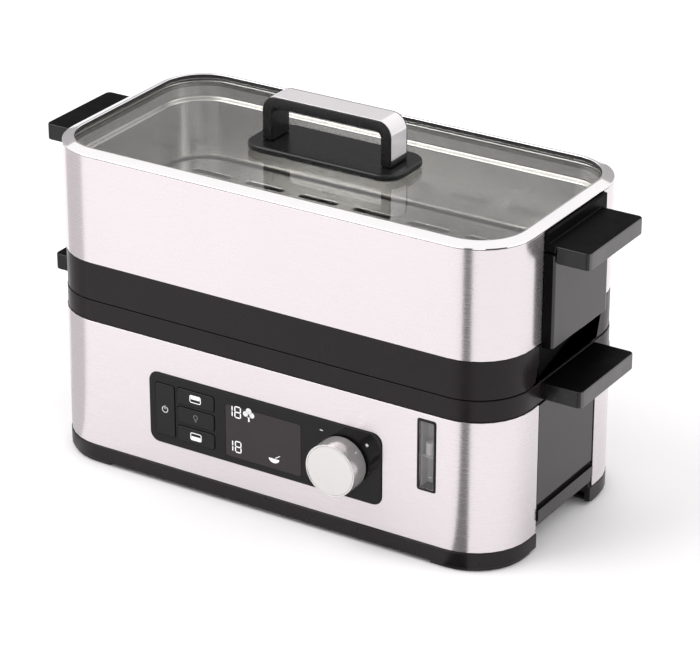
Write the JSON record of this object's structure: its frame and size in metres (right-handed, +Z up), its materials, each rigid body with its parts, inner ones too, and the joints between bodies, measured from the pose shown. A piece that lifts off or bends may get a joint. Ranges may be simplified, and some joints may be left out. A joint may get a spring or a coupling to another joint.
{
  "type": "two-tier electric food steamer",
  "caption": "Compact two-tier electric food steamer: steel-clad base with control fascia, knob and water window, lower bowl in a black rim, upper bowl, shelf handles and a glass lid.",
  "frame": {"origin": "middle of the body's footprint, on the surface the feet stand on", "axes": "+X along the length to the end beside the water window, +Y towards the back away from the controls, +Z up"},
  "size_m": [0.4016, 0.2024, 0.2512],
  "materials": {
    "steel_brushed": "brushed stainless steel, fine vertical grain",
    "steel_satin": "satin stainless steel",
    "steel_polished": "polished stainless steel rim",
    "steel_knob": "spun satin face, polished side",
    "chrome_trim": "bright chrome",
    "screw_steel": "plain steel",
    "element_metal": "heat-tinted sheathed element",
    "black_plastic": "fine-grained black moulding",
    "dark_plastic": "smooth black moulding",
    "gloss_black": "gloss black",
    "button_black": "semi-gloss black with pale printed symbols",
    "display_pane": "smoked clear acrylic",
    "display_screen": "dark liquid-crystal screen with pale segments",
    "clear_pane": "clear polycarbonate",
    "lid_glass": "clear tempered glass",
    "foot_rubber": "matt black rubber",
    "gland_rubber": "matt black rubber",
    "gasket_silicone": "dark silicone",
    "pale_plastic": "off-white moulding",
    "float_plastic": "white float",
    "board_laminate": "green solder mask"
  },
  "bodies": {
    "base": {"chassis": "black_plastic", "foot_fl": "foot_rubber", "foot_fr": "foot_rubber", "foot_rl": "foot_rubber", "foot_rr": "foot_rubber", "base_front_cladding": "steel_brushed", "base_rear_cladding": "steel_brushed", "base_end_panel_right": "black_plastic", "base_end_panel_left": "black_plastic", "bottom_cover": "black_plastic", "cover_screw_1": "screw_steel", "cover_screw_2": "screw_steel", "cover_screw_3": "screw_steel", "cover_screw_4": "screw_steel", "water_tank": "dark_plastic", "heater_plate": "steel_satin", "heating_element": "element_metal", "thermostat": "pale_plastic", "control_board": "board_laminate", "encoder_body": "pale_plastic", "control_fascia": "gloss_black", "display_window": "display_pane", "display_module": "display_screen", "window_frame": "black_plastic", "water_window": "clear_pane", "level_channel": "pale_plastic", "cord_gland": "gland_rubber"},
    "lower_tier": {"lower_rim": "black_plastic", "lower_bowl": "steel_satin", "lower_handle_right": "black_plastic", "lower_handle_left": "black_plastic"},
    "upper_tier": {"upper_collar": "black_plastic", "upper_front_cladding": "steel_brushed", "upper_rear_cladding": "steel_brushed", "upper_end_panel_right": "black_plastic", "upper_end_panel_left": "black_plastic", "upper_handle_right": "black_plastic", "upper_handle_left": "black_plastic", "upper_bowl": "steel_satin"},
    "tray": {"steam_tray": "steel_satin"},
    "lid": {"lid_rim": "steel_polished", "lid_gasket": "gasket_silicone", "lid_glass": "lid_glass", "handle_base": "black_plastic", "handle_bail": "black_plastic", "handle_strip": "chrome_trim", "handle_screw_right": "screw_steel", "handle_screw_left": "screw_steel"},
    "knob_body": {"knob": "steel_knob", "knob_shaft": "screw_steel"},
    "power_key": {"power_button": "button_black"},
    "upper_key": {"upper_bowl_button": "button_black"},
    "light_key": {"light_button": "button_black"},
    "lower_key": {"lower_bowl_button": "button_black"},
    "float": {"level_float": "float_plastic"}
  },
  "joints": [
    {"name": "lower_tier_lift", "type": "slide", "parent": "base", "child": "lower_tier", "axis": [0, 0, 1], "range_m": [0, 0.07]},
    {"name": "upper_tier_lift", "type": "slide", "parent": "lower_tier", "child": "upper_tier", "axis": [0, 0, 1], "range_m": [0, 0.05]},
    {"name": "tray_lift", "type": "slide", "parent": "upper_tier", "child": "tray", "axis": [0, 0, 1], "range_m": [0, 0.045]},
    {"name": "lid_lift", "type": "slide", "parent": "upper_tier", "child": "lid", "axis": [0, 0, 1], "range_m": [0, 0.06]},
    {"name": "knob_turn", "type": "hinge", "parent": "base", "child": "knob_body", "pos_m": [0.06, -0.0938, 0.0545], "axis": [0, -1, 0], "continuous": true},
    {"name": "power_press", "type": "slide", "parent": "base", "child": "power_key", "axis": [0, 1, 0], "range_m": [0, 0.0008], "stiffness_N_per_m": 600, "springref_m": -0.0004},
    {"name": "upper_bowl_press", "type": "slide", "parent": "base", "child": "upper_key", "axis": [0, 1, 0], "range_m": [0, 0.0008], "stiffness_N_per_m": 600, "springref_m": -0.0004},
    {"name": "light_press", "type": "slide", "parent": "base", "child": "light_key", "axis": [0, 1, 0], "range_m": [0, 0.0008], "stiffness_N_per_m": 600, "springref_m": -0.0004},
    {"name": "lower_bowl_press", "type": "slide", "parent": "base", "child": "lower_key", "axis": [0, 1, 0], "range_m": [0, 0.0008], "stiffness_N_per_m": 600, "springref_m": -0.0004},
    {"name": "float_rise", "type": "slide", "parent": "base", "child": "float", "axis": [0, 0, 1], "range_m": [0, 0.014]}
  ]
}
